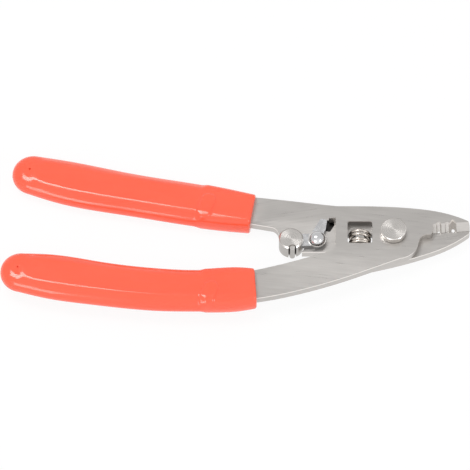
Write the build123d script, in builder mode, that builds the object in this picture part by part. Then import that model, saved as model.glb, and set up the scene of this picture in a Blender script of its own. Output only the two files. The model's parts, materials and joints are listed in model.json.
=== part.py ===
from build123d import *
import os

# Fibre stripper: two stamped levers on one rivet, sprung open, with a thumb latch.
# Lengths are millimetres. +X runs towards the jaws and +Z faces the side with the rivet heads.
# Each lever is drawn on its own outer face: x towards the jaw tip, y towards its own jaw, so the
# handle is on the -y side. The latch is drawn on the back lever's inner face, as seen from +Z.

# ---- driving dimensions ----
PIVOT_X, PIVOT_Y = 55.67, -1.36
JAW_TURN = 6.6  # degrees that the closed jaws point above +X
BACK_Z = 2.7  # height of the back lever's outer face over the lowest point of the grips
LEVER = 3.0  # plate thickness
GAP = 0.05  # running gap between sliding faces

PIVOT_R = 3.0
PIVOT_FIT = 0.05
HEAD_R, HEAD_HEIGHT = 4.55, 2.25
COLLAR_R, COLLAR_HEIGHT = 4.2, 0.9
TAIL_R = 2.0

BODY_CORNER = (-18.8, 13.1)
THROAT_START = (0.9, -10.9)
HEEL = (14.0, -0.3)  # inner end of the cutting edge
TIP = (26.9, -0.85)  # outer end of the cutting edge
BEVEL_RUN = 2.1
EDGE_LAND = 0.15

FLUTES = ((2.1, 0.55), (5.1, 0.42))  # distance from the heel and depth of each round notch
FLUTE_R = 0.98
NOTCH_AT, NOTCH_DEPTH, NOTCH_RISE = 7.1, 1.4, 2.1

SPRING_X, SPRING_Y = 43.85, -2.77
WINDOW = (8.7, 9.0)
WINDOW_SHIFT = 1.53  # each window's centre lies this far from the spring's, towards its own jaw
TONGUE_WIDTH, TONGUE_LENGTH, TONGUE_HEIGHT = 3.0, 2.0, 1.6

WIRE_R, COIL_R, COIL_TURNS = 0.5, 3.45, 3.0

LATCH_AT = Vector(-26.9, 0.95)
KNOB_AT = Vector(-36.1, 1.7)
LATCH = 1.6  # plate thickness
LATCH_TURN = 6  # degrees that the latch turns away from the tooth
KNOB_R, KNOB_TOP, KNOB_CLEARANCE = 4.3, 6.2, 0.3
KNOB_CHAMFER = 0.5
RIB_R, RIB_AT = 1.0, 3.7
GROOVE_R, GROOVE_AT = 1.4, 4.1
LINK_WIDTH = 5.0
BOSS_R, WASHER_R, WASHER = 3.0, 3.15, 0.45
NECK_R, NECK = 2.3, 0.35
DOME_R, DOME_HEIGHT = 2.8, 1.95
ARM = (
    (2.9, -0.75),
    (2.4, 2.1),
    (2.4, 3.1),
    (2.7, 3.6),
    (3.0, 4.25),
    (3.2, 6.0),
    (3.45, 7.4),
    (3.3, 8.1),
    (2.6, 8.55),
    (1.2, 8.6),
    (-1.8, 3.2),
    (-2.8, 1.0),
)
RELIEF = ((2.7, 4.5), (4.5, 4.25), (6.0, 6.8), (6.0, 9.0), (3.0, 9.0))
RELIEF_DEPTH = 1.2
LATCH_PIN_R, LATCH_FIT = 1.25, 0.08

GRIP = 8.4  # thickness of a grip
GRIP_ROUND, GRIP_END_ROUND = 3.2, 0.9
TANG_HALF = 5.0  # half width of a handle inside its grip

# Centre line and half width of each grip, from its open end to the centre of its round end.
FRONT_GRIP = (
    (-50.8, -16.6, 7.3),
    (-56.5, -16.3, 8.1),
    (-67.5, -15.6, 8.1),
    (-84.3, -13.3, 8.25),
    (-106.3, -8.0, 8.5),
    (-122.0, -3.4, 8.6),
    (-131.68, -0.7, 7.5),
)
BACK_GRIP = (
    (-47.9, -16.0, 7.1),
    (-57.9, -19.0, 7.9),
    (-66.0, -21.5, 8.2),
    (-90.7, -29.2, 8.25),
    (-112.5, -36.8, 8.45),
    (-123.0, -41.0, 7.52),
)


def face(height, outward=1):
    """A plane on the pivot axis at this height, with x along the jaws."""
    return Plane(
        origin=(PIVOT_X, PIVOT_Y, height),
        x_dir=Vector(1, 0, 0).rotate(Axis.Z, JAW_TURN),
        z_dir=(0, 0, outward),
    )


front_face = face(BACK_Z + 2 * LEVER + GAP)
back_face = face(BACK_Z, outward=-1)
seat = face(BACK_Z + LEVER)


def along(stations):
    """The direction of the centre line at each station."""
    points = [Vector(x, y) for x, y, _ in stations]
    before = [points[0]] + points[:-1]
    after = points[1:] + [points[-1]]
    return [(b - a).normalized() for a, b in zip(before, after)]


def flank(stations, side, half=None):
    """Points beside the centre line, side +1 or -1, at the stations' own or one half width."""
    return [
        Vector(x, y) + d.rotate(Axis.Z, 90 * side) * (half or width)
        for (x, y, width), d in zip(stations, along(stations))
    ]


def jaw_outline():
    """Back of the jaw, blunt tip, cutting edge and throat, from the body's corner to the handle."""
    Spline(BODY_CORNER, (-1.8, 10.9), (9.0, 8.8), (17.3, 6.4), (23.0, 3.8), (26.5, 1.7))
    ThreePointArc((26.5, 1.7), (27.0, 0.5), TIP)
    Line(TIP, HEEL)
    Polyline(HEEL, (13.4, -1.7), (12.9, -2.25), (12.1, -2.25))
    Spline((12.1, -2.25), (10.7, -2.25), (9.35, -3.0), (8.5, -4.4), (7.3, -7.5), (5.3, -9.5), THROAT_START)


def tang_outline(stations, outer, inner):
    """Both edges of the handle, from the throat through outer, round the end and back to inner."""
    end = along(stations)[-1]
    near, far = flank(stations, 1, TANG_HALF), flank(stations, -1, TANG_HALF)
    centre = Vector(*stations[-1][:2])
    Spline(THROAT_START, *outer, *near)
    ThreePointArc(near[-1], centre + end * TANG_HALF, far[-1])
    Spline(*reversed(far), *inner)


def cut_window(height, outward):
    """The spring's window, with the tongue that centres the coil on the handle side."""
    centre = (SPRING_X, SPRING_Y + outward * WINDOW_SHIFT, height)
    plane = Plane(origin=centre, x_dir=(1, 0, 0), z_dir=(0, 0, outward))
    with BuildSketch(plane) as window:
        RectangleRounded(*WINDOW, 0.8)
    extrude(window.sketch, amount=-LEVER, mode=Mode.SUBTRACT)
    with BuildSketch(plane.offset(-LEVER)) as tongue:
        with Locations((0, (TONGUE_LENGTH - WINDOW[1]) / 2)):
            Rectangle(TONGUE_WIDTH, TONGUE_LENGTH)
    extrude(tongue.sketch, amount=TONGUE_HEIGHT)


def grind_jaw(plane):
    """The bevel up to the cutting edge, two round flutes and the vee notch across it."""
    heel = plane.from_local_coords(Vector(*HEEL))
    edge = (plane.from_local_coords(Vector(*TIP)) - heel).normalized()
    across = plane.z_dir.cross(edge)

    def section(distance):
        return Plane(origin=heel + edge * distance, x_dir=across, z_dir=edge)

    inner = -LEVER + EDGE_LAND
    with BuildSketch(section(0)) as bevel:
        Polygon((-4, inner), (0, inner), (1.5 * BEVEL_RUN, -inner / 2), (-4, -inner / 2), align=None)
    extrude(bevel.sketch, amount=2 * TIP[0], mode=Mode.SUBTRACT)

    slope = (across * BEVEL_RUN - plane.z_dir * inner).normalized()
    lift = edge.cross(slope)
    for distance, depth in FLUTES:
        bottom = heel + edge * distance + plane.z_dir * inner
        start = bottom - lift * (FLUTE_R - depth) * (1 if lift.dot(plane.z_dir) < 0 else -1)
        with BuildSketch(Plane(origin=start - slope * LEVER, x_dir=edge, z_dir=slope)) as flute:
            Circle(FLUTE_R)
        extrude(flute.sketch, amount=3 * LEVER, mode=Mode.SUBTRACT)

    apex = heel + edge * NOTCH_AT + across * NOTCH_DEPTH - plane.z_dir * LEVER
    rise = (across * NOTCH_RISE + plane.z_dir * LEVER).normalized()
    vee = Plane(origin=apex - rise * LEVER, x_dir=edge, z_dir=rise)
    down = -1 if vee.y_dir.dot(across) > 0 else 1
    with BuildSketch(vee) as notch:
        Polygon((0, 0), (6, 6 * down), (-6, 6 * down), align=None)
    extrude(notch.sketch, amount=3 * LEVER, mode=Mode.SUBTRACT)


# ---- levers ----
with BuildPart() as front_lever:
    with BuildSketch(front_face) as outline:
        with BuildLine():
            jaw_outline()
            tang_outline(
                FRONT_GRIP[2:-1],
                outer=[(-4.5, -12.4), (-17.3, -16.0), (-39.0, -20.4), (-50.0, -21.5)],
                inner=[(-49.4, -9.9), (-37.6, -8.1), (-21.0, -4.7)],
            )
            Polyline((-21.0, -4.7), (-19.5, 8.4), (-21.9, 8.4), (-21.5, 9.9), BODY_CORNER)
        make_face()
        fillet(outline.vertices().sort_by_distance((-21.0, -4.7))[0], 3.0)
    extrude(amount=-LEVER)
    cut_window(BACK_Z + 2 * LEVER + GAP, 1)
    grind_jaw(front_face)
    with Locations(front_face):
        Hole(PIVOT_R + PIVOT_FIT)

reach = KNOB_AT - LATCH_AT
bearing = reach.get_signed_angle(Vector(1, 0))
knob_path = CenterArc(LATCH_AT, reach.length, bearing - 1, LATCH_TURN + 2)

with BuildPart() as back_lever:
    with BuildSketch(back_face) as outline:
        with BuildLine():
            jaw_outline()
            tang_outline(
                BACK_GRIP[2:-1],
                outer=[(-4.5, -12.2), (-17.4, -14.8), (-30.0, -17.9), (-43.4, -21.2)],
                inner=[(-46.0, -10.2), (-40.4, -8.4)],
            )
            Polyline((-40.4, -8.4), (-39.8, -5.0), (-38.0, 2.0), (-20.4, 3.9), BODY_CORNER)
        make_face()
        fillet(outline.vertices().sort_by_distance((-40.4, -8.4))[0], 3.0)
        fillet(outline.vertices().sort_by_distance((-20.4, 3.9))[0], 3.0)
    extrude(amount=-LEVER)
    cut_window(BACK_Z, -1)
    grind_jaw(back_face)
    # the scoop that the knob swings in
    with BuildSketch(seat):
        SlotArc(knob_path, 2 * (KNOB_R + KNOB_CLEARANCE))
    extrude(amount=-LEVER, mode=Mode.SUBTRACT)
    with Locations(back_face):
        Hole(PIVOT_R)
    with BuildSketch(seat):
        with Locations(LATCH_AT):
            Circle(LATCH_PIN_R)
    extrude(amount=-LEVER, mode=Mode.SUBTRACT)
    # the relief under the front lever's tooth
    with BuildSketch(seat) as relief:
        with Locations(Location(LATCH_AT, (0, 0, -JAW_TURN))):
            Polygon(*RELIEF, align=None)
        fillet(relief.vertices(), 0.35)
    extrude(amount=-RELIEF_DEPTH, mode=Mode.SUBTRACT)


# ---- grips ----
def grip_block(stations, middle, outward):
    """A rounded block along the stations, middle being the height of the handle's mid-plane."""
    directions = along(stations)
    left, right = flank(stations, 1), flank(stations, -1)
    base = face(middle - outward * GRIP / 2, outward)
    with BuildSketch(base) as block:
        with BuildLine():
            Spline(*left, tangents=(directions[0], directions[-1]))
            centre = Vector(*stations[-1][:2])
            ThreePointArc(left[-1], centre + directions[-1] * stations[-1][2], right[-1])
            Spline(*reversed(right), tangents=(-directions[-1], -directions[0]))
            Line(right[0], left[0])
        make_face()
    extrude(block.sketch, amount=GRIP)
    opening = base.from_local_coords(Vector(*stations[0][:2]))
    front = faces().sort_by_distance(opening + base.z_dir * GRIP / 2)[0]
    rims = [e for e in edges() if abs(e.center().Z - middle) > GRIP / 2 - 0.01 and e not in front.edges()]
    fillet(rims, GRIP_ROUND)
    front = faces().sort_by_distance(opening + base.z_dir * GRIP / 2)[0]
    fillet(front.edges(), GRIP_END_ROUND)


with BuildPart() as front_grip:
    grip_block(FRONT_GRIP, BACK_Z + 1.5 * LEVER + GAP, 1)
    add(front_lever.part, mode=Mode.SUBTRACT)

with BuildPart() as back_grip:
    grip_block(BACK_GRIP, BACK_Z + LEVER / 2, -1)
    add(back_lever.part, mode=Mode.SUBTRACT)


# ---- pivot ----
pivot_axis = Axis((PIVOT_X, PIVOT_Y, 0), (0, 0, 1))
with BuildPart() as pivot_rivet:
    head = 2 * LEVER + 2 * GAP
    with BuildSketch(Plane(origin=(PIVOT_X, PIVOT_Y, BACK_Z), x_dir=(1, 0, 0), z_dir=(0, -1, 0))):
        with BuildLine():
            Polyline(
                (0, -COLLAR_HEIGHT - 0.3),
                (TAIL_R, -COLLAR_HEIGHT - 0.3),
                (TAIL_R, 0),
                (PIVOT_R, 0),
                (PIVOT_R, head),
                (HEAD_R - 0.25, head),
                (HEAD_R - 0.25, head + 0.2),
                (HEAD_R, head + 0.2),
                (HEAD_R, head + HEAD_HEIGHT - 0.25),
                (HEAD_R - 0.25, head + HEAD_HEIGHT),
                (0, head + HEAD_HEIGHT),
                close=True,
            )
        make_face()
    revolve(axis=pivot_axis)

with BuildPart() as pivot_washer:
    with BuildSketch(back_face):
        Circle(COLLAR_R)
        Circle(TAIL_R, mode=Mode.SUBTRACT)
    extrude(amount=COLLAR_HEIGHT)
    chamfer(edges().group_by(Axis.Z)[0].sort_by(SortBy.RADIUS)[-1], 0.25)

# ---- return spring ----
with BuildPart() as return_spring:
    run = WINDOW[1] - 2 * (WINDOW_SHIFT + WIRE_R + GAP)
    upper_end = (SPRING_X, SPRING_Y + run / 2, BACK_Z + LEVER + GAP / 2)
    with BuildLine() as path:
        Helix(run / COIL_TURNS, run, COIL_R, center=upper_end, direction=(0, -1, 0))
    with BuildSketch(Plane(path.line @ 0, z_dir=path.line % 0)):
        Circle(WIRE_R)
    sweep(path=path.line)

# ---- latch ----
with BuildPart() as latch_plate:
    with BuildSketch(seat.offset(GAP)):
        with Locations(LATCH_AT):
            Circle(BOSS_R)
        with Locations(Location((LATCH_AT + KNOB_AT) / 2, (0, 0, bearing))):
            SlotCenterToCenter(reach.length, LINK_WIDTH)
        with Locations(Location(LATCH_AT, (0, 0, -JAW_TURN))):
            Polygon(*ARM, align=None)
        with Locations(LATCH_AT):
            Circle(LATCH_PIN_R + LATCH_FIT, mode=Mode.SUBTRACT)
    extrude(amount=LATCH)

with BuildPart() as latch_knob:
    with BuildSketch(face(BACK_Z)):
        with Locations(KNOB_AT):
            Circle(KNOB_R)
    extrude(amount=KNOB_TOP)
    chamfer(edges().group_by(Axis.Z)[-1], KNOB_CHAMFER)
    with BuildSketch(face(BACK_Z)) as groove:
        with Locations(KNOB_AT - Vector(0, GROOVE_AT)):
            Circle(GROOVE_R)
    extrude(groove.sketch, amount=KNOB_TOP, mode=Mode.SUBTRACT)
    with BuildSketch(face(BACK_Z)) as rib:
        with Locations(KNOB_AT - Vector(0, RIB_AT)):
            Circle(RIB_R)
        with Locations(KNOB_AT - Vector(0, RIB_AT - RIB_R)):
            Rectangle(RIB_R, 2 * RIB_R)
    extrude(rib.sketch, amount=KNOB_TOP - KNOB_CHAMFER)
    add(latch_plate.part, mode=Mode.SUBTRACT)

with BuildPart() as latch_washer:
    with BuildSketch(seat.offset(GAP + LATCH)):
        with Locations(LATCH_AT):
            Circle(WASHER_R)
            Circle(LATCH_PIN_R + LATCH_FIT, mode=Mode.SUBTRACT)
    extrude(amount=WASHER)

with BuildPart() as latch_rivet:
    spot = seat.from_local_coords(LATCH_AT)
    neck = GAP + LATCH + WASHER + GAP
    rim = neck + NECK
    with BuildSketch(Plane(origin=spot, x_dir=(1, 0, 0), z_dir=(0, -1, 0))):
        with BuildLine():
            Polyline(
                (0, rim + DOME_HEIGHT),
                (0, -LEVER - 0.5),
                (2.1, -LEVER - 0.5),
                (2.1, -LEVER),
                (LATCH_PIN_R, -LEVER),
                (LATCH_PIN_R, neck),
                (NECK_R, neck),
                (NECK_R, rim),
                (DOME_R, rim),
            )
            RadiusArc((DOME_R, rim), (0, rim + DOME_HEIGHT), -(DOME_R**2 / DOME_HEIGHT + DOME_HEIGHT) / 2)
        make_face()
    revolve(axis=Axis(spot, (0, 0, 1)))

# ---- export ----
parts = {
    "back_lever": back_lever,
    "front_lever": front_lever,
    "back_grip": back_grip,
    "front_grip": front_grip,
    "pivot_rivet": pivot_rivet,
    "pivot_washer": pivot_washer,
    "return_spring": return_spring,
    "latch_plate": latch_plate,
    "latch_knob": latch_knob,
    "latch_washer": latch_washer,
    "latch_rivet": latch_rivet,
}
os.makedirs("parts", exist_ok=True)
for name, piece in parts.items():
    piece.part.label = name
    export_step(piece.part, f"parts/{name}.step")
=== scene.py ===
"""Finish and stage for the fibre stripper: sleeves, return spring, steels, lamps and camera."""

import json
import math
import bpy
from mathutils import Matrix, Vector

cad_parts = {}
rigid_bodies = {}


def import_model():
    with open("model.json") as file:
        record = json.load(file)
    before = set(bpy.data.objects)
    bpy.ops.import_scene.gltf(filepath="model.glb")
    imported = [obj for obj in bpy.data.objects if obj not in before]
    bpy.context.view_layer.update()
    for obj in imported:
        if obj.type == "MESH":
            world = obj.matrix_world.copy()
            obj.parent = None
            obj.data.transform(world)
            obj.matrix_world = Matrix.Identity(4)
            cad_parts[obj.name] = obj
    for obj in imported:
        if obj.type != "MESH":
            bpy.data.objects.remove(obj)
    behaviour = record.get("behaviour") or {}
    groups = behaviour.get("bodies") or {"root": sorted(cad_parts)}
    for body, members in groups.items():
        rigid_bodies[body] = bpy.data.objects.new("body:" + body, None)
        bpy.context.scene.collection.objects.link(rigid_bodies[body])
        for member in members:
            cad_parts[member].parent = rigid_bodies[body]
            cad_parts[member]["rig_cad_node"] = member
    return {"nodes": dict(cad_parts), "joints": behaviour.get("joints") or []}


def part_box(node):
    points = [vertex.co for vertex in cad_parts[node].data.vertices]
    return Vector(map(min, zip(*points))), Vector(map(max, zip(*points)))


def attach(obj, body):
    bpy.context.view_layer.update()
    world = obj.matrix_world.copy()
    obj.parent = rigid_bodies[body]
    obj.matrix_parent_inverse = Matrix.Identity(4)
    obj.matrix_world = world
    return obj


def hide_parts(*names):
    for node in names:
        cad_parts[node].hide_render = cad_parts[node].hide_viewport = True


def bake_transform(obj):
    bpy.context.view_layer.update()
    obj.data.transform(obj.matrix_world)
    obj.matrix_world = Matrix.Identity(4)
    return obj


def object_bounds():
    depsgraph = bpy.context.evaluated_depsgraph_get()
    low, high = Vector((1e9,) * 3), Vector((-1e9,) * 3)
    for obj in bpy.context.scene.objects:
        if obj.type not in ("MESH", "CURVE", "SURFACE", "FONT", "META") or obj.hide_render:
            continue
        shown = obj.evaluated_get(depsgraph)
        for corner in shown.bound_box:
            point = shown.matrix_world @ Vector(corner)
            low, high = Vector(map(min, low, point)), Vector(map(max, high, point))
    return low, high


bl_info = {
    "name": "Fibre stripper finish",
    "version": (1, 0, 0),
    "blender": (4, 5, 0),
    "location": "3D View > Sidebar > Stripper",
    "description": "Dresses the packed fibre stripper: sleeves, spring, steel finishes and studio",
    "category": "Object",
}

import bmesh
import bpy
import numpy as np
from bpy.props import FloatProperty, FloatVectorProperty, PointerProperty
from mathutils import Matrix, Vector

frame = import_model()
cad_low, cad_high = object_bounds()

MM = 0.001
JOINTS = {joint["name"]: joint for joint in frame["joints"]}
PIVOT = Vector(JOINTS["handle_pivot"]["pos_m"])
LATCH_PIN = Vector(JOINTS["latch_pivot"]["pos_m"])
JAW_TURN = math.radians(6.6)  # the closed jaws point this far above +X

# Centre line of each sleeve in its own lever's frame, in millimetres, with half its width there:
# x towards the jaw tip, y towards the lever's own jaw, from the open end to the round end.
FRONT_LINE = (
    (-50.8, -16.6, 7.3),
    (-56.5, -16.3, 8.1),
    (-67.5, -15.6, 8.1),
    (-84.3, -13.3, 8.25),
    (-106.3, -8.0, 8.5),
    (-122.0, -3.4, 8.6),
    (-131.68, -0.7, 7.5),
)
BACK_LINE = (
    (-47.9, -16.0, 7.1),
    (-57.9, -19.0, 7.9),
    (-66.0, -21.5, 8.2),
    (-90.7, -29.2, 8.25),
    (-112.5, -36.8, 8.45),
    (-123.0, -41.0, 7.52),
)

# Middle of each sleeve's plain raised pad, in millimetres, and how far the pads lean from +X.
PADS = {"front_grip": (-9.3, -28.3), "back_grip": (-10.3, 10.0)}
PAD_SLANT = math.radians(70)

# How finely a sleeve is drawn, and its small fixed measures in millimetres.
END_ROUND = 0.9  # rounding of the rim at the open end
RIM_STEPS = 5  # steps in that rounding
COARSE_STEP, FINE_STEP = 0.8, 0.2  # distance between sections, and around the pad
PAD_REACH = 6.5  # the fine sections run this far either side of the thin front section's end
CAP_STEPS = 24  # sections around the round end
SIDE_STEPS, TOP_STEPS = 14, 26  # points on the side's rounding and from there to the middle
CROWN = 0.1  # rise from the shoulder to the middle
FRONT_BLEND = (-1.2, 1.6)  # the thin front section swells to full width between these, about its end
PAD_EDGE = (-0.7, 0.1)  # the pad falls away between these, about its outline
VENT_DEPTH = 2.4
VENT_FROM_TIP = 6.2
WELD = 0.02  # points closer than this become one

# Places painted darker as shade, where little light reaches, as (middle, half size) in millimetres.
TOOTH_POCKET = ((33.2, 3.15, 5.0), (2.2, 2.8, 0.66))
BACK_WINDOW = ((43.85, -2.77, 4.2), (4.6, 6.4, 1.42))
FRONT_WINDOW = ((43.85, -2.77, 7.25), (4.6, 6.4, 1.42))
LOWER_JAW = ((72.0, -4.0, 5.6), (13.0, 14.0, 0.2))
# Height in millimetres of the painted highlight along each plate's upper rim, and half its width.
FRONT_RIM, BACK_RIM, RIM_HALF = 8.5, 5.45, 0.25

# Lamps: name, power in watts, width and height, and offset from the middle of the tool, in metres.
LAMPS = (
    ("overhead", 3.8, (0.34, 0.5), (-0.34, 0.17, 1.0)),
    ("front_left", 2.6, (0.45, 0.55), (-0.57, -0.95, 0.66)),
    ("front_right", 1.8, (0.25, 0.3), (0.75, -0.6, 0.6)),
)
FLOOR_SIZE = 6  # metres
FLOOR_GLOW = 0.92  # how much of the floor is plain white to rays that see it
SENSOR = 36  # width of the camera's sensor, in millimetres

COIL_STEPS, WIRE_SIDES = 40, 16  # how finely the spring's coil and wire are drawn

# Sockets of the Mix node: when it blends colours, and when it blends plain values.
MIX_FACTOR = 0
COLOUR_A, COLOUR_B, COLOUR_OUT = 6, 7, 2
VALUE_A, VALUE_B, VALUE_OUT = 2, 3, 0


# ---- settings ----
def length(name, text, value):
    return FloatProperty(name=name, description=text, default=value, min=0, unit="LENGTH", precision=5)


def colour(name, text, value):
    return FloatVectorProperty(
        name=name, description=text, default=value, size=3, subtype="COLOR", min=0, max=1
    )


class StripperSleeves(bpy.types.PropertyGroup):
    shoulder: length("Shoulder", "Run of the wide rounding at each side", 4.3 * MM)
    front_shoulder: length("Front shoulder", "The same rounding on the thin front section", 2.2 * MM)
    flat_half: length("Flat half width", "Half the width of the raised flat over the handle", 4.1 * MM)
    flat_rise: length("Flat rise", "How far that flat stands above the skirt", 0.42 * MM)
    flat_edge: length("Flat edge", "Width of the slope down from that flat", 2.8 * MM)
    flat_stop: length("Flat stop", "Distance from the flat's round end to the sleeve's tip", 8.6 * MM)
    front_section: length("Front section", "Length of the thin section at the open end", 18.5 * MM)
    pad_length: length("Pad length", "Length of the plain raised pad", 10.7 * MM)
    pad_width: length("Pad width", "Width of the plain raised pad", 5.6 * MM)
    pad_rise: length("Pad rise", "Height of the plain raised pad", 0.42 * MM)
    vent: length("Vent", "Radius of the vent hole near the round end", 0.5 * MM)


class StripperSpring(bpy.types.PropertyGroup):
    wire: length("Wire", "Radius of the spring's wire", 0.5 * MM)
    coil: length("Coil", "Radius of the coil at the middle of the wire", 3.45 * MM)
    turns: FloatProperty(name="Turns", description="Number of turns", default=4.0, min=1)


class StripperColours(bpy.types.PropertyGroup):
    vinyl: colour("Vinyl", "Orange-red of the sleeves", (1.0, 0.112, 0.05))
    steel: colour("Steel", "Brushed plate", (0.6, 0.575, 0.55))
    turned: colour("Turned steel", "Rivet heads and knob", (0.7, 0.67, 0.64))
    bright: colour("Bright steel", "Latch rivet", (0.76, 0.76, 0.77))
    wire: colour("Spring wire", "Return spring", (0.62, 0.57, 0.52))


class StripperStage(bpy.types.PropertyGroup):
    view_width: length("View width", "Width seen at the tool", 165.4 * MM)
    elevation: FloatProperty(
        name="Elevation", description="Camera height above the horizon", default=math.radians(57.8),
        subtype="ANGLE",
    )
    aim: FloatVectorProperty(
        name="Aim", description="From the middle of the tool to the point looked at", size=3,
        default=(-0.1 * MM, -0.6 * MM, 0), subtype="TRANSLATION",
    )
    lens: FloatProperty(name="Lens", description="Focal length in millimetres", default=900, min=20)
    sky: FloatProperty(name="Sky", description="Brightness of the even light", default=0.68, min=0)
    floor: colour("Floor", "Plain pale floor", (0.94, 0.94, 0.94))


# ---- material helpers ----
class Nodes:
    """Short words for adding and joining the nodes of a tree."""

    def __init__(self, tree):
        self.tree = tree

    def add(self, kind, **values):
        node = self.tree.nodes.new(kind)
        for name, value in values.items():
            setattr(node, name, value)
        return node

    def join(self, source, target):
        self.tree.links.new(source, target)

    def ranged(self, value, low, high, start=0.0, end=1.0):
        node = self.add("ShaderNodeMapRange", clamp=True)
        node.inputs["From Min"].default_value = start
        node.inputs["From Max"].default_value = end
        node.inputs["To Min"].default_value = low
        node.inputs["To Max"].default_value = high
        self.join(value, node.inputs["Value"])
        return node.outputs["Result"]

    def maths(self, operation, *values):
        node = self.add("ShaderNodeMath", operation=operation)
        for socket, value in zip(node.inputs, values):
            if isinstance(value, (int, float)):
                socket.default_value = value
            else:
                self.join(value, socket)
        return node.outputs[0]

    def split(self, vector):
        """The three parts of a vector."""
        node = self.add("ShaderNodeSeparateXYZ")
        self.join(vector, node.inputs[0])
        return node.outputs

    def blend(self, factor, first, second, end):
        """Mixes two shaders into the tree's end node."""
        mix = self.add("ShaderNodeMixShader")
        for socket, source in zip(mix.inputs, (factor, first, second)):
            self.join(source, socket)
        self.join(mix.outputs[0], self.tree.nodes[end].inputs["Surface"])


class Recipe(Nodes):
    """A new material, to be built up from its own coordinates."""

    def __init__(self, name, base, metallic, roughness):
        self.material = bpy.data.materials.new(name)
        self.material.use_nodes = True
        super().__init__(self.material.node_tree)
        self.shader = self.tree.nodes["Principled BSDF"]
        self.shader.inputs["Base Color"].default_value = (*base, 1)
        self.shader.inputs["Metallic"].default_value = metallic
        self.shader.inputs["Roughness"].default_value = roughness
        coordinates = self.add("ShaderNodeTexCoord").outputs
        self.place, self.normal = coordinates["Object"], coordinates["Normal"]

    def stretched(self, scale, centre=(0, 0, 0), turn=0.0):
        """Object coordinates from this centre, turned back by turn, then scaled."""
        mapping = self.add("ShaderNodeMapping", vector_type="TEXTURE")
        mapping.inputs["Location"].default_value = centre
        mapping.inputs["Rotation"].default_value = (0, 0, turn)
        mapping.inputs["Scale"].default_value = [1 / s for s in scale]
        self.join(self.place, mapping.inputs["Vector"])
        return mapping.outputs["Vector"]

    def noise(self, vector, detail=3.0, roughness=0.6, scale=1.0):
        node = self.add("ShaderNodeTexNoise")
        node.inputs["Scale"].default_value = scale
        node.inputs["Detail"].default_value = detail
        node.inputs["Roughness"].default_value = roughness
        self.join(vector, node.inputs["Vector"])
        return node.outputs["Fac"]

    def inside(self, middle, half):
        """1 within a box given in millimetres, 0 outside it."""
        result = 1.0
        for value, centre, reach in zip(self.split(self.place), middle, half):
            within = self.maths("COMPARE", value, centre * MM, reach * MM)
            result = self.maths("MULTIPLY", within, result)
        return result

    def level(self):
        """1 on faces that look straight up or down, 0 on upright walls."""
        return self.maths("ABSOLUTE", self.split(self.normal)["Z"])

    def shaded(self, factor, first, second, blend="MIX"):
        """A colour from first, plain or a node's output, to second by factor."""
        node = self.add("ShaderNodeMix", data_type="RGBA", blend_type=blend)
        self.join(factor, node.inputs[MIX_FACTOR])
        if isinstance(first, tuple):
            node.inputs[COLOUR_A].default_value = (*first, 1)
        else:
            self.join(first, node.inputs[COLOUR_A])
        node.inputs[COLOUR_B].default_value = (*second, 1)
        return node.outputs[COLOUR_OUT]

    def bump(self, height, strength, distance):
        node = self.add("ShaderNodeBump")
        node.inputs["Strength"].default_value = strength
        node.inputs["Distance"].default_value = distance
        self.join(height, node.inputs["Height"])
        self.join(node.outputs["Normal"], self.shader.inputs["Normal"])

    def paint(self, socket, source):
        self.join(source, self.shader.inputs[socket])


def scaled(rgb, factor):
    return tuple(min(1.0, c * factor) for c in rgb)


def brushed_steel(name, rgb, turn, rim_height, shaded_places):
    """Stainless plate: brushing along it, rougher sheared walls, a painted sheen lighter towards +X, a
    painted highlight along the upper rim and painted shade in listed places.
    """
    steel = Recipe(name, rgb, 1.0, 0.36)
    lines = steel.noise(steel.stretched((90, 2600, 2600), turn=turn), detail=4.0)
    blotches = steel.noise(steel.stretched((60, 60, 60)), detail=2.0)
    mixed = steel.maths("MULTIPLY_ADD", lines, 0.55, steel.maths("MULTIPLY", blotches, 0.45))
    # Painted sheen: the plate's colour is drawn lighter towards +X.
    sheen = steel.ranged(steel.split(steel.place)["X"], -0.13, 0.13, 0.0, 0.08)
    tone = steel.shaded(steel.maths("ADD", mixed, sheen), scaled(rgb, 0.8), scaled(rgb, 1.16))
    # Painted shade: inside each place's box the colour is multiplied by its factor, depth.
    for (middle, half), depth in shaded_places:
        tone = steel.shaded(steel.inside(middle, half), tone, (depth, depth, depth), "MULTIPLY")
    # Painted highlight: upright walls are drawn brighter in a band just under each plate's upper rim.
    wall = steel.maths("COMPARE", steel.split(steel.normal)["Z"], 0.0, 0.5)
    height = steel.split(steel.place)["Z"]
    rim = steel.maths("COMPARE", height, rim_height * MM, RIM_HALF * MM)
    painted_rim_highlight = steel.shaded(steel.maths("MULTIPLY", wall, rim), tone, scaled(rgb, 1.5))
    steel.paint("Base Color", painted_rim_highlight)
    spread = steel.ranged(lines, 0.27, 0.4, 0.3, 0.7)
    flat = steel.ranged(steel.level(), 0.0, 1.0, 0.35, 0.9)
    steel.paint("Roughness", steel.maths("ADD", spread, steel.ranged(flat, 0.12, 0.0)))
    steel.bump(lines, 0.12, 0.00004)
    steel.shader.inputs["Anisotropic"].default_value = 0.3
    return steel.material


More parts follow.
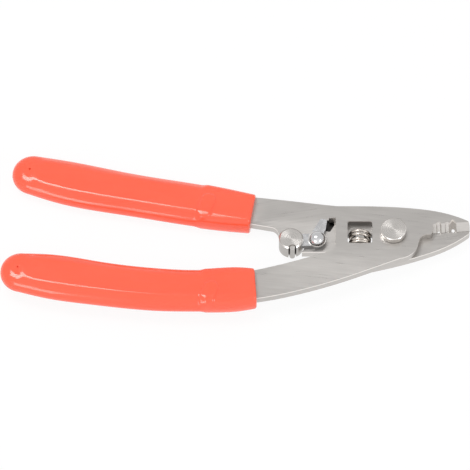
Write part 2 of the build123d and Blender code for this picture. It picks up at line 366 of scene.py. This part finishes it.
def turned_steel(name, rgb, axis, roughness=0.27, walls=1.0):
    """Lathe-turned steel: fine rings about the axis, a sheen across them, and upright walls drawn
    darker by the factor walls as painted shade.
    """
    steel = Recipe(name, rgb, 1.0, roughness)
    across = steel.stretched((1, 1, 1e-6), centre=axis)
    radius = steel.add("ShaderNodeVectorMath", operation="LENGTH")
    steel.join(across, radius.inputs[0])
    rings = steel.add("ShaderNodeTexNoise", noise_dimensions="1D")
    rings.inputs["Scale"].default_value = 3200
    rings.inputs["Detail"].default_value = 3
    steel.join(radius.outputs["Value"], rings.inputs["W"])
    ring = rings.outputs["Fac"]
    cloud = steel.noise(steel.stretched((420, 420, 420)), detail=2.0)
    tone = steel.maths("ADD", steel.maths("MULTIPLY", ring, 0.6), steel.maths("MULTIPLY", cloud, 0.4))
    # Painted shade: upright walls are drawn darker by the factor walls.
    painted_wall_shade = steel.ranged(steel.level(), walls, 1.0, 0.2, 0.8)
    light = steel.maths("MULTIPLY", painted_wall_shade, steel.ranged(tone, 0.77, 1.0))
    steel.paint("Base Color", steel.shaded(light, (0, 0, 0), scaled(rgb, 1.12)))
    steel.paint("Roughness", steel.ranged(ring, roughness - 0.07, roughness + 0.08, 0.3, 0.7))
    steel.bump(ring, 0.2, 0.00003)
    tangent = steel.add("ShaderNodeTangent", direction_type="RADIAL", axis="Z")
    steel.join(tangent.outputs["Tangent"], steel.shader.inputs["Tangent"])
    steel.shader.inputs["Anisotropic"].default_value = 0.75
    return steel.material


def bright_steel(name, rgb, roughness, walls=1.0):
    """Polished steel with faint hairlines and handling haze, its upright walls drawn darker by the
    factor walls as painted shade.
    """
    steel = Recipe(name, rgb, 1.0, roughness)
    haze = steel.noise(steel.stretched((520, 520, 520)), detail=3.0)
    hair = steel.noise(steel.stretched((300, 5200, 5200), turn=0.5), detail=3.0)
    # Painted shade: upright walls are drawn darker by the factor walls.
    painted_wall_shade = steel.ranged(steel.level(), walls, 1.0, 0.2, 0.8)
    light = steel.maths("MULTIPLY", painted_wall_shade, steel.ranged(haze, 0.9, 1.06))
    steel.paint("Base Color", steel.shaded(light, (0, 0, 0), rgb))
    steel.paint("Roughness", steel.ranged(haze, roughness * 0.7, roughness * 1.5, 0.3, 0.7))
    steel.bump(hair, 0.1, 0.00003)
    return steel.material


def dipped_vinyl(name, rgb):
    """Glossy dip-moulded vinyl: slight depth in the colour, soft waves and a little wear."""
    vinyl = Recipe(name, rgb, 0.0, 0.16)
    depth = vinyl.noise(vinyl.stretched((45, 110, 110)), detail=2.0)
    wear = vinyl.noise(vinyl.stretched((700, 700, 700)), detail=4.0)
    waves = vinyl.noise(vinyl.stretched((70, 130, 130)), detail=1.0)
    light = (rgb[0], rgb[1] * 1.14, rgb[2] * 1.3)
    vinyl.paint("Base Color", vinyl.shaded(depth, scaled(rgb, 0.95), light))
    vinyl.paint("Roughness", vinyl.ranged(wear, 0.1, 0.2, 0.35, 0.7))
    vinyl.bump(waves, 0.12, 0.0004)
    for socket, value in (
        ("Subsurface Weight", 0.12),
        ("Subsurface Scale", 0.0012),
        ("Subsurface Radius", (1.0, 0.3, 0.15)),
        ("Coat Weight", 0.35),
        ("Coat Roughness", 0.06),
    ):
        vinyl.shader.inputs[socket].default_value = value
    return vinyl.material


def finish(obj, material):
    """Gives the whole of obj one material."""
    obj.data.materials.clear()
    obj.data.materials.append(material)
    for polygon in obj.data.polygons:
        polygon.material_index = 0


# ---- mesh helpers ----
def new_piece(name, mesh):
    obj = bpy.data.objects.new(name, mesh)
    bpy.context.scene.collection.objects.link(obj)
    return obj


def smooth_line(stations, spacing):
    """Points, directions and half widths along a smooth curve through the stations."""
    values = np.array(stations, float)
    steps = np.linalg.norm(np.diff(values[:, :2], axis=0), axis=1)
    knots = np.concatenate(([0.0], np.cumsum(steps)))
    count = len(knots)
    system, target = np.eye(count), np.zeros((count, 3))
    for i in range(1, count - 1):
        before, after = steps[i - 1], steps[i]
        system[i, i - 1 : i + 2] = before, 2 * (before + after), after
        target[i] = 6 * ((values[i + 1] - values[i]) / after - (values[i] - values[i - 1]) / before)
    bend = np.linalg.solve(system, target)
    where = spacing(knots[-1])
    line = []
    for w in where:
        i = min(int(np.searchsorted(knots, w, side="right")) - 1, count - 2)
        h, u = steps[i], w - knots[i]
        a, b, c, d = values[i], values[i + 1], bend[i], bend[i + 1]
        slope = (b - a) / h - h * (2 * c + d) / 6
        point = a + slope * u + c * u * u / 2 + (d - c) * u**3 / (6 * h)
        heading = slope + c * u + (d - c) * u * u / (2 * h)
        line.append((w, point, heading[:2] / np.linalg.norm(heading[:2])))
    return line, knots[-1]


def ease(value, start, end):
    """0 before start, 1 after end, smooth between."""
    t = min(max((value - start) / (end - start), 0.0), 1.0)
    return t * t * (3 - 2 * t)


def side_profile(half, shoulder, top):
    """Half a section, (across, height) from the side's middle up and in to the shoulder's end."""
    rise = math.tan(math.radians(7))
    ends = (
        (half, 0),
        (half, 0.64 * top),
        (half - 0.5 * shoulder, top - 0.5 * shoulder * rise),
        (half - shoulder, top),
    )
    points = []
    for i in range(SIDE_STEPS + 1):
        t = i / SIDE_STEPS
        weights = ((1 - t) ** 3, 3 * t * (1 - t) ** 2, 3 * t * t * (1 - t), t**3)
        points.append(tuple(sum(w * p[axis] for w, p in zip(weights, ends)) for axis in (0, 1)))
    return points


# ---- sleeves ----
class SleeveShape:
    """One sleeve's measures, in millimetres in its lever's own frame, and how high it stands."""

    def __init__(self, stations, cad_node, outward):
        self.sizes = bpy.context.scene.stripper_sleeves
        self.outward = outward
        low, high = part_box(cad_node)
        self.middle = (low.z + high.z) / 2 / MM
        self.half_thick = (high.z - low.z) / 2 / MM
        self.front_section = self.sizes.front_section / MM
        self.line, self.total = smooth_line(stations, self.spacing)
        self.end_half = stations[-1][2]
        stop = (self.sizes.flat_stop + self.sizes.flat_half) / MM
        flat_end = self.total + self.end_half - stop
        self.spine = [Vector(point[:2]) for at, point, _ in self.line if at <= flat_end]
        self.pad_centre = Vector(PADS[cad_node])
        self.pad_along = Vector((math.cos(PAD_SLANT), math.sin(PAD_SLANT)))
        self.pad_across = Vector((-self.pad_along.y, self.pad_along.x))

    def spacing(self, total):
        """Where the sections stand, as distances from the open end."""
        marks, at = [END_ROUND], END_ROUND
        while at < total:
            at += FINE_STEP if abs(at - self.front_section) < PAD_REACH else COARSE_STEP
            marks.append(min(at, total))
        return marks

    def columns(self):
        """(centre, outward direction, half width, distance from the open end) once round the sleeve."""
        side = []
        for at, point, heading in self.line:
            side.append((Vector(point[:2]), Vector((-heading[1], heading[0])), point[2], at))
        end_centre, end_dir, end_half, _ = side[-1]
        cap = []
        for i in range(1, CAP_STEPS):
            turned = end_dir.copy()
            turned.rotate(Matrix.Rotation(-math.pi * i / CAP_STEPS, 2))
            cap.append((end_centre, turned, end_half, self.total))
        other = [(centre, -away, half, at) for centre, away, half, at in reversed(side)]
        return side + cap + other

    def half_section(self, half, at):
        """(across, height) points from the side's middle up and in to the sleeve's middle."""
        front = 1 - ease(at - self.front_section, *FRONT_BLEND)
        sizes = self.sizes
        shoulder = (sizes.shoulder * (1 - front) + sizes.front_shoulder * front) / MM
        skirt = self.half_thick - sizes.flat_rise / MM * (1 - 0.35 * front) - CROWN
        inner = half - shoulder
        rows = []
        for i in range(1, TOP_STEPS + 1):
            share = i / TOP_STEPS
            rows.append((inner * (1 - share), skirt + CROWN * share))
        return side_profile(half, shoulder, skirt) + rows

    def lift(self, spot, side):
        """Height added by the raised flat and, on the face seen from above, by the pad."""
        sizes = self.sizes
        away = min((spot - point).length for point in self.spine)
        flat_foot = (sizes.flat_half + sizes.flat_edge) / MM
        rise = sizes.flat_rise / MM * (1 - ease(away, sizes.flat_half / MM, flat_foot))
        if side * self.outward > 0:
            offset = self.to_row(spot, 0).to_2d() / MM - self.pad_centre
            along, across = offset.dot(self.pad_along), abs(offset.dot(self.pad_across))
            straight = (sizes.pad_length - sizes.pad_width) / 2 / MM
            gap = math.hypot(max(abs(along) - straight, 0), across) - sizes.pad_width / 2 / MM
            rise += sizes.pad_rise / MM * (1 - ease(gap, *PAD_EDGE))
        return rise

    def to_row(self, spot, height):
        """A spot in the lever's own frame, and its height above the sleeve's middle, in the scene."""
        own = Vector((spot.x, spot.y * self.outward))
        own.rotate(Matrix.Rotation(JAW_TURN, 2))
        level = self.middle + height * self.outward
        return Vector((PIVOT.x + own.x * MM, PIVOT.y + own.y * MM, level * MM))


def sleeve_skin(shape):
    """The sleeve's skin, still open at the lever's end."""
    work = bmesh.new()
    grid = []
    for centre, direction, half, at in shape.columns():
        rows = shape.half_section(half, at)
        column = []
        for side in (1, -1):
            for across, height in rows if side < 0 else reversed(rows):
                if side < 0 and height == 0:
                    continue
                spot = centre + direction * across
                fade = min(1.0, height / (0.6 * shape.half_thick))
                level = side * (height + fade * shape.lift(spot, side))
                column.append(work.verts.new(shape.to_row(spot, level)))
        grid.append(column)
    for first, second in zip(grid, grid[1:]):
        for i in range(len(first) - 1):
            work.faces.new((first[i], second[i], second[i + 1], first[i + 1]))
    bmesh.ops.remove_doubles(work, verts=work.verts, dist=WELD * MM)
    return work


def close_open_end(work, shape):
    """Rounds the rim of the open end inwards in even steps, then closes it with a flat face."""
    rim = [edge for edge in work.edges if edge.is_boundary]
    heading = Vector(shape.line[0][2])
    ahead = (shape.to_row(-heading, 0) - shape.to_row(Vector((0, 0)), 0)).normalized()
    loop_centre = sum((v.co for edge in rim for v in edge.verts), Vector()) / (2 * len(rim))
    radius = END_ROUND * MM
    forward_done, inward_done = 0.0, 0.0
    for step in range(1, RIM_STEPS + 1):
        angle = math.pi / 2 * step / RIM_STEPS
        forward, inward = radius * math.sin(angle), radius * (1 - math.cos(angle))
        grown_edges = bmesh.ops.extrude_edge_only(work, edges=rim)["geom"]
        rim = [g for g in grown_edges if isinstance(g, bmesh.types.BMEdge) and g.is_boundary]
        for vert in {v for edge in rim for v in edge.verts}:
            out = vert.co - loop_centre
            level = out - ahead * out.dot(ahead)
            vert.co += ahead * (forward - forward_done) - level.normalized() * (inward - inward_done)
        forward_done, inward_done = forward, inward
    bmesh.ops.contextual_create(work, geom=rim)
    bmesh.ops.recalc_face_normals(work, faces=work.faces)


def cut_away(piece, cutters):
    """Takes the cutters out of the piece, and removes them."""
    for cutter in cutters:
        cut = piece.modifiers.new("cut", "BOOLEAN")
        cut.operation, cut.object, cut.solver = "DIFFERENCE", cutter, "EXACT"
    depsgraph = bpy.context.evaluated_depsgraph_get()
    mesh = bpy.data.meshes.new_from_object(piece.evaluated_get(depsgraph))
    piece.modifiers.clear()
    mesh.name = piece.data.name
    piece.data = mesh
    for cutter in cutters:
        bpy.data.objects.remove(cutter)


def smooth(piece, degrees):
    """Smooth shading, with edges sharper than this left crisp."""
    for polygon in piece.data.polygons:
        polygon.use_smooth = True
    piece.data.set_sharp_from_angle(angle=math.radians(degrees))


def sleeve_mesh(name, stations, lever_node, cad_node, outward):
    """A closed dip-moulded sleeve with its flat, thin front section, pad, vent and pocket."""
    shape = SleeveShape(stations, cad_node, outward)
    work = sleeve_skin(shape)
    close_open_end(work, shape)
    mesh = bpy.data.meshes.new(name)
    work.to_mesh(mesh)
    work.free()
    sleeve = new_piece(name, mesh)

    _, end, heading = shape.line[-1]
    vent_spot = Vector(end[:2]) + Vector(heading) * (shape.end_half - VENT_FROM_TIP)
    top = shape.to_row(vent_spot, outward * shape.half_thick)
    cut_away(sleeve, [pocket_of(lever_node), vent_cutter(top, shape.sizes.vent)])
    smooth(sleeve, 40)
    return sleeve


def pocket_of(lever_node):
    """A welded copy of the lever, to cut its own pocket."""
    copy = new_piece("pocket", frame["nodes"][lever_node].data.copy())
    work = bmesh.new()
    work.from_mesh(copy.data)
    bmesh.ops.remove_doubles(work, verts=work.verts, dist=1e-6)
    work.to_mesh(copy.data)
    work.free()
    return copy


def vent_cutter(spot, radius):
    """A short tapered pin that leaves the vent hole."""
    work = bmesh.new()
    bmesh.ops.create_cone(
        work, cap_ends=True, segments=20, radius1=radius * 0.7, radius2=radius, depth=VENT_DEPTH * MM
    )
    mesh = bpy.data.meshes.new("vent")
    work.to_mesh(mesh)
    work.free()
    mesh.transform(Matrix.Translation(spot))
    return new_piece("vent", mesh)


class STRIPPER_OT_sleeves(bpy.types.Operator):
    """Make both vinyl sleeves in place of the plain grip solids"""

    bl_idname = "stripper.sleeves"
    bl_label = "Vinyl sleeves"

    def execute(self, context):
        vinyl = dipped_vinyl("glossy_vinyl", context.scene.stripper_colours.vinyl)
        for name, line, side in (("front", FRONT_LINE, 1), ("back", BACK_LINE, -1)):
            sleeve = sleeve_mesh(f"{name}_sleeve", line, f"{name}_lever", f"{name}_grip", side)
            finish(sleeve, vinyl)
            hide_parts(f"{name}_grip")
            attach(sleeve, name)
        return {"FINISHED"}


# ---- levers and rivets ----
class STRIPPER_OT_levers(bpy.types.Operator):
    """Give both stamped levers their brushed finish"""

    bl_idname = "stripper.levers"
    bl_label = "Brushed levers"

    def execute(self, context):
        steel = context.scene.stripper_colours.steel
        # Painted shade factors for the spring windows, the pocket under the tooth and the lower jaw.
        painted_shade_front = [(FRONT_WINDOW, 0.4)]
        painted_shade_back = [(BACK_WINDOW, 0.3), (TOOTH_POCKET, 0.08), (LOWER_JAW, 0.86)]
        for name, rgb, degrees, rim, painted_shade in (
            ("front", scaled(steel, 0.96), -7, FRONT_RIM, painted_shade_front),
            ("back", steel, 9, BACK_RIM, painted_shade_back),
        ):
            brushed = brushed_steel(f"brushed_{name}", rgb, math.radians(degrees), rim, painted_shade)
            finish(frame["nodes"][f"{name}_lever"], brushed)
        return {"FINISHED"}


class STRIPPER_OT_rivets(bpy.types.Operator):
    """Give the pivot rivet and its collar their turned finish"""

    bl_idname = "stripper.rivets"
    bl_label = "Pivot rivet"

    def execute(self, context):
        turned = turned_steel("turned_pivot", context.scene.stripper_colours.turned, PIVOT)
        for node in ("pivot_rivet", "pivot_washer"):
            finish(frame["nodes"][node], turned)
        return {"FINISHED"}


class STRIPPER_OT_latch(bpy.types.Operator):
    """Finish the latch: bright arm and dome, turned knob and washer"""

    bl_idname = "stripper.latch"
    bl_label = "Latch"

    def execute(self, context):
        colours = context.scene.stripper_colours
        low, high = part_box("latch_knob")
        knob_axis = (low + high) / 2
        # Painted shade on upright walls: 0.68 on the knob, 0.4 on the latch plate.
        knob = turned_steel("turned_knob", colours.turned, knob_axis, walls=0.68)
        washer = turned_steel("turned_washer", colours.turned, LATCH_PIN)
        plate = bright_steel("bright_plate", scaled(colours.bright, 0.9), 0.24, walls=0.4)
        dome = bright_steel("bright_dome", colours.bright, 0.09)
        for node, material, slot in (
            ("latch_knob", knob, "turned_steel"),
            ("latch_washer", washer, "turned_steel"),
            ("latch_plate", plate, "steel"),
            ("latch_rivet", dome, "polished_steel"),
        ):
            finish(frame["nodes"][node], material)
        return {"FINISHED"}


# ---- return spring ----
def spring_tree():
    """Geometry nodes: a coil whose end turns lie close, its sizes as inputs."""
    tree = bpy.data.node_groups.new("return_spring", "GeometryNodeTree")
    face = tree.interface
    for name in ("Wire radius", "Coil radius", "Length", "Turns"):
        face.new_socket(name, in_out="INPUT", socket_type="NodeSocketFloat")
    face.new_socket("Finish", in_out="INPUT", socket_type="NodeSocketMaterial")
    face.new_socket("Spring", in_out="OUTPUT", socket_type="NodeSocketGeometry")
    nodes = Nodes(tree)
    given = nodes.add("NodeGroupInput").outputs
    result = nodes.add("NodeGroupOutput")
    coil = nodes.add("GeometryNodeCurveSpiral")
    coil.inputs["Resolution"].default_value = COIL_STEPS
    for source, target in (
        ("Turns", "Rotations"),
        ("Coil radius", "Start Radius"),
        ("Coil radius", "End Radius"),
        ("Length", "Height"),
    ):
        nodes.join(given[source], coil.inputs[target])
    # the pitch eases off towards each end
    part = nodes.add("GeometryNodeSplineParameter")
    shape = nodes.add("ShaderNodeFloatCurve")
    points = shape.mapping.curves[0].points
    points[0].location, points[1].location = (0, 0), (1, 1)
    points.new(0.2, 0.1)
    points.new(0.8, 0.9)
    shape.mapping.update()
    nodes.join(part.outputs["Factor"], shape.inputs["Value"])
    rise = nodes.maths("MULTIPLY", shape.outputs[0], given["Length"])
    here = nodes.split(nodes.add("GeometryNodeInputPosition").outputs[0])
    merge = nodes.add("ShaderNodeCombineXYZ")
    for axis, source in (("X", here["X"]), ("Y", here["Y"]), ("Z", rise)):
        nodes.join(source, merge.inputs[axis])
    place = nodes.add("GeometryNodeSetPosition")
    nodes.join(coil.outputs["Curve"], place.inputs["Geometry"])
    nodes.join(merge.outputs[0], place.inputs["Position"])
    ring = nodes.add("GeometryNodeCurvePrimitiveCircle")
    ring.inputs["Resolution"].default_value = WIRE_SIDES
    nodes.join(given["Wire radius"], ring.inputs["Radius"])
    tube = nodes.add("GeometryNodeCurveToMesh")
    tube.inputs["Fill Caps"].default_value = True
    nodes.join(place.outputs["Geometry"], tube.inputs["Curve"])
    nodes.join(ring.outputs["Curve"], tube.inputs["Profile Curve"])
    whole = nodes.add("GeometryNodeRealizeInstances")
    dress = nodes.add("GeometryNodeSetMaterial")
    nodes.join(tube.outputs["Mesh"], whole.inputs["Geometry"])
    nodes.join(whole.outputs["Geometry"], dress.inputs["Geometry"])
    nodes.join(given["Finish"], dress.inputs["Material"])
    nodes.join(dress.outputs["Geometry"], result.inputs["Spring"])
    return tree


def grown(tree, name, **values):
    """The tree's result, with these inputs, as a plain mesh object."""
    holder = new_piece(name, bpy.data.meshes.new(name))
    maker = holder.modifiers.new("nodes", "NODES")
    maker.node_group = tree
    given = [item for item in tree.interface.items_tree if item.in_out == "INPUT"]
    sockets = {item.name: item.identifier for item in given}
    for key, value in values.items():
        maker[sockets[key.replace("_", " ").capitalize()]] = value
    depsgraph = bpy.context.evaluated_depsgraph_get()
    mesh = bpy.data.meshes.new_from_object(holder.evaluated_get(depsgraph))
    holder.modifiers.clear()
    holder.data = mesh
    mesh.name = name
    return holder


class STRIPPER_OT_spring(bpy.types.Operator):
    """Coil the return spring between the two tongues"""

    bl_idname = "stripper.spring"
    bl_label = "Return spring"

    def execute(self, context):
        sizes = context.scene.stripper_spring
        steel = bright_steel("bright_wire", context.scene.stripper_colours.wire, 0.22)
        low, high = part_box("return_spring")
        axis = Vector((0, 1, 0))
        middle = (low + high) / 2
        span = high.y - low.y - 2 * sizes.wire
        top, bottom = middle + axis * span / 2, middle - axis * span / 2
        spring = grown(
            spring_tree(), "coil_spring", wire_radius=sizes.wire, coil_radius=sizes.coil,
            length=span, turns=sizes.turns, finish=steel,
        )
        turn = Vector((0, 0, 1)).rotation_difference(axis).to_matrix().to_4x4()
        spring.data.transform(Matrix.Translation(bottom) @ turn)
        smooth(spring, 50)
        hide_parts("return_spring")
        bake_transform(spring)
        return {"FINISHED"}


# ---- stage ----
def lamp(name, power, size, spot, target):
    data = bpy.data.lights.new(name, "AREA")
    data.shape, data.energy = "RECTANGLE", power
    data.size, data.size_y = size
    obj = bpy.data.objects.new(name, data)
    obj.location = spot
    obj.rotation_euler = (Vector(target) - Vector(spot)).to_track_quat("-Z", "Y").to_euler()
    bpy.context.scene.collection.objects.link(obj)


def lay_floor(rgb):
    """A wide pale floor that shows as plain white to rays that see it, and still takes shadows."""
    bpy.ops.mesh.primitive_plane_add(size=FLOOR_SIZE)
    floor = bpy.context.object
    floor.name = "floor"
    pale = Recipe("pale_floor", rgb, 0.0, 0.9)
    path = pale.add("ShaderNodeLightPath").outputs
    seen = pale.maths("MAXIMUM", path["Is Camera Ray"], path["Is Glossy Ray"])
    seen = pale.maths("MAXIMUM", seen, path["Is Transmission Ray"])
    glow = pale.add("ShaderNodeEmission").outputs[0]
    factor = pale.maths("MULTIPLY", seen, FLOOR_GLOW)
    pale.blend(factor, pale.shader.outputs[0], glow, "Material Output")
    floor.data.materials.append(pale.material)


def hang_sky(scene, sky):
    """Even light, brighter in front for mirrored rays, with plain white seen behind the scene."""
    world = bpy.data.worlds.new("studio")
    world.use_nodes = True
    scene.world = world
    nodes = Nodes(world.node_tree)
    path = nodes.add("ShaderNodeLightPath").outputs
    around = nodes.add("ShaderNodeTexCoord").outputs["Generated"]
    front = nodes.ranged(nodes.split(around)["Y"], 1.0, sky, -0.9, 0.1)
    strength = nodes.add("ShaderNodeMix")
    strength.inputs[VALUE_A].default_value = sky
    nodes.join(path["Is Glossy Ray"], strength.inputs[MIX_FACTOR])
    nodes.join(front, strength.inputs[VALUE_B])
    light = world.node_tree.nodes["Background"]
    white = nodes.add("ShaderNodeBackground")
    for background in (light, white):
        background.inputs["Color"].default_value = (1, 1, 1, 1)
    nodes.join(strength.outputs[VALUE_OUT], light.inputs["Strength"])
    nodes.blend(path["Is Camera Ray"], light.outputs[0], white.outputs[0], "World Output")


def aim_camera(scene, settings, middle):
    """A long lens that looks down at the tool from in front."""
    camera = bpy.data.cameras.new("camera")
    camera.lens, camera.sensor_width = settings.lens, SENSOR
    camera.clip_start, camera.clip_end = 0.05, 100
    away = settings.view_width / 2 / math.tan(math.atan(camera.sensor_width / 2 / camera.lens))
    back = Vector((0, -math.cos(settings.elevation), math.sin(settings.elevation)))
    holder = bpy.data.objects.new("camera", camera)
    holder.location = middle + Vector(settings.aim) + back * away
    holder.rotation_euler = (-back).to_track_quat("-Z", "Y").to_euler()
    scene.collection.objects.link(holder)
    scene.camera = holder


class STRIPPER_OT_stage(bpy.types.Operator):
    """Lay the floor, hang the lamps and aim the camera"""

    bl_idname = "stripper.stage"
    bl_label = "Stage"

    def execute(self, context):
        scene, settings = context.scene, context.scene.stripper_stage
        scene.view_settings.view_transform = "Standard"
        lay_floor(settings.floor)
        hang_sky(scene, settings.sky)
        middle = (cad_low + cad_high) / 2
        for name, power, size, offset in LAMPS:
            lamp(name, power, size, middle + Vector(offset), middle)
        aim_camera(scene, settings, middle)
        return {"FINISHED"}


# ---- add-on ----
STEPS = (
    STRIPPER_OT_stage,
    STRIPPER_OT_levers,
    STRIPPER_OT_sleeves,
    STRIPPER_OT_spring,
    STRIPPER_OT_rivets,
    STRIPPER_OT_latch,
)
SETTINGS = {
    "stripper_sleeves": StripperSleeves,
    "stripper_spring": StripperSpring,
    "stripper_colours": StripperColours,
    "stripper_stage": StripperStage,
}


class STRIPPER_PT_panel(bpy.types.Panel):
    """Lists the steps that dress the fibre stripper"""

    bl_label = "Fibre stripper"
    bl_idname = "STRIPPER_PT_panel"
    bl_space_type = "VIEW_3D"
    bl_region_type = "UI"
    bl_category = "Stripper"

    def draw(self, context):
        for step in STEPS:
            self.layout.operator(step.bl_idname)


def register():
    for group in SETTINGS.values():
        bpy.utils.register_class(group)
    for name, group in SETTINGS.items():
        setattr(bpy.types.Scene, name, PointerProperty(type=group))
    for step in (*STEPS, STRIPPER_PT_panel):
        bpy.utils.register_class(step)


def unregister():
    for step in reversed((*STEPS, STRIPPER_PT_panel)):
        bpy.utils.unregister_class(step)
    for name, group in SETTINGS.items():
        delattr(bpy.types.Scene, name)
        bpy.utils.unregister_class(group)


def main():
    register()
    for step in STEPS:
        group, name = step.bl_idname.split(".")
        getattr(getattr(bpy.ops, group), name)()


if __name__ == "__main__":
    main()
